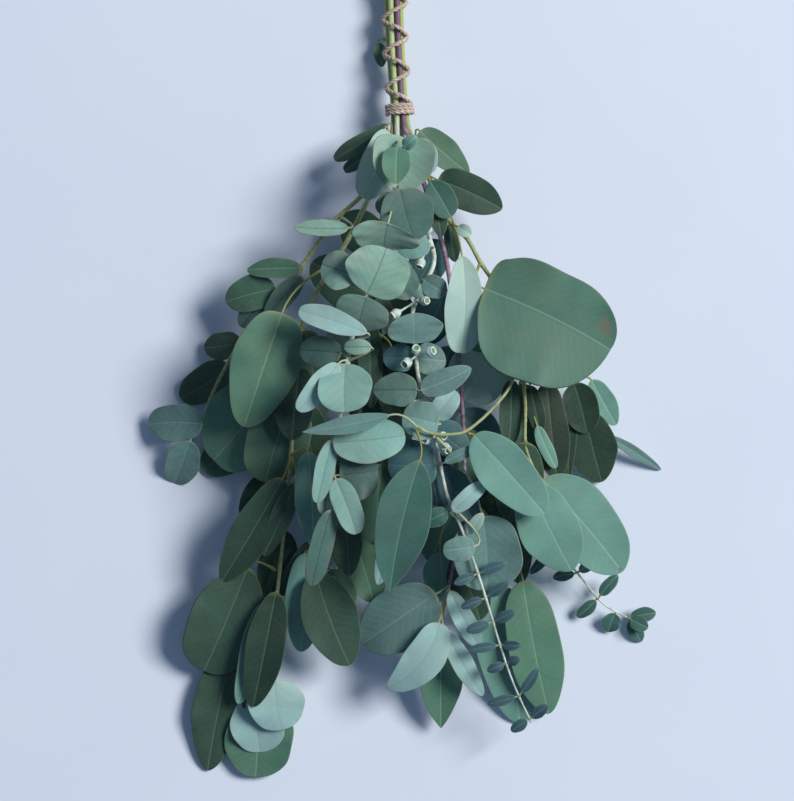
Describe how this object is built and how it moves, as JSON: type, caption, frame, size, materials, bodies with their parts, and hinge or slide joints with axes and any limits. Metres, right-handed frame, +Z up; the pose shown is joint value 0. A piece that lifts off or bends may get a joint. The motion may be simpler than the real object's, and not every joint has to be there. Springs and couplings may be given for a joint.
{
  "type": "tied eucalyptus bunch with gum nuts",
  "caption": "Cut bunch of mixed eucalyptus with round, oval and lance leaves, slender sprigs and gum nuts, its stems laced together with jute twine; lies on its back.",
  "frame": {"origin": "middle of the bunch's outline on the surface it lies on", "axes": "+Y along the bunch from the leaf tips towards the cut stem ends, +Z up from the surface, towards the side the picture shows"},
  "size_m": [0.3581, 0.5735, 0.1058],
  "materials": {
    "deep_green_leaf": "satin",
    "green_leaf": "satin",
    "mint_leaf": "satin",
    "pale_leaf": "matte",
    "grey_leaf": "matte",
    "blue_leaf": "matte",
    "olive_stem": "satin",
    "purple_stem": "satin",
    "white_stem": "matte",
    "gum_nut": "matte",
    "jute_twine": "matte"
  },
  "bodies": {
    "root": {"cinerea_stem": "white_stem", "baby_blue_stem": "white_stem", "purple_stem": "purple_stem", "right_branch": "olive_stem", "left_branch": "olive_stem", "left_inner_branch": "olive_stem", "middle_branch": "olive_stem", "cross_twig": "olive_stem", "jute_twine": "jute_twine", "baby_blue_tip": "blue_leaf", "right_small_sprig": "deep_green_leaf", "right_side_spray": "deep_green_leaf", "gum_nuts_top": "gum_nut", "gum_nuts_upper": "gum_nut", "gum_nuts_middle": "gum_nut", "gum_nuts_lower": "gum_nut", "gum_nuts_end": "gum_nut", "back_leaf": "deep_green_leaf", "back_lower_leaf": "deep_green_leaf", "left_shade_pair": "deep_green_leaf", "left_end_pair": "grey_leaf", "left_green_pair": "green_leaf", "left_dark_pair": "deep_green_leaf", "left_round_leaves": "deep_green_leaf", "lower_left_dark_leaf": "deep_green_leaf", "bottom_leaves": "blue_leaf", "lower_left_round_leaf": "deep_green_leaf", "lower_left_folded_leaf": "green_leaf", "left_lance_leaves": "green_leaf", "right_lower_leaves": "green_leaf", "dark_pointed_leaf": "deep_green_leaf", "curled_leaves": "mint_leaf", "middle_end_leaves": "green_leaf", "middle_slim_leaves": "deep_green_leaf", "under_round_leaves": "green_leaf", "top_left_leaves": "pale_leaf", "upper_right_leaves": "deep_green_leaf", "left_slim_leaf": "grey_leaf", "great_left_leaf": "green_leaf", "middle_green_pair": "green_leaf", "pale_hanging_leaves": "pale_leaf", "great_round_leaf": "green_leaf", "green_disc_leaf": "green_leaf", "bright_pair": "mint_leaf", "bright_upper_leaf": "mint_leaf", "baby_blue_pair_1": "blue_leaf", "baby_blue_pair_2": "blue_leaf", "baby_blue_pair_3": "grey_leaf", "baby_blue_pair_4": "blue_leaf", "baby_blue_pair_5": "blue_leaf", "baby_blue_pair_6": "pale_leaf", "clasping_leaves": "grey_leaf", "cinerea_pair_1": "grey_leaf", "cinerea_pair_2": "grey_leaf", "cinerea_pair_3": "grey_leaf", "cinerea_pair_4": "grey_leaf", "cinerea_pair_5": "grey_leaf", "cinerea_end_leaves": "grey_leaf", "front_lance_leaf": "deep_green_leaf", "blue_lance_leaf": "blue_leaf"}
  },
  "joints": []
}
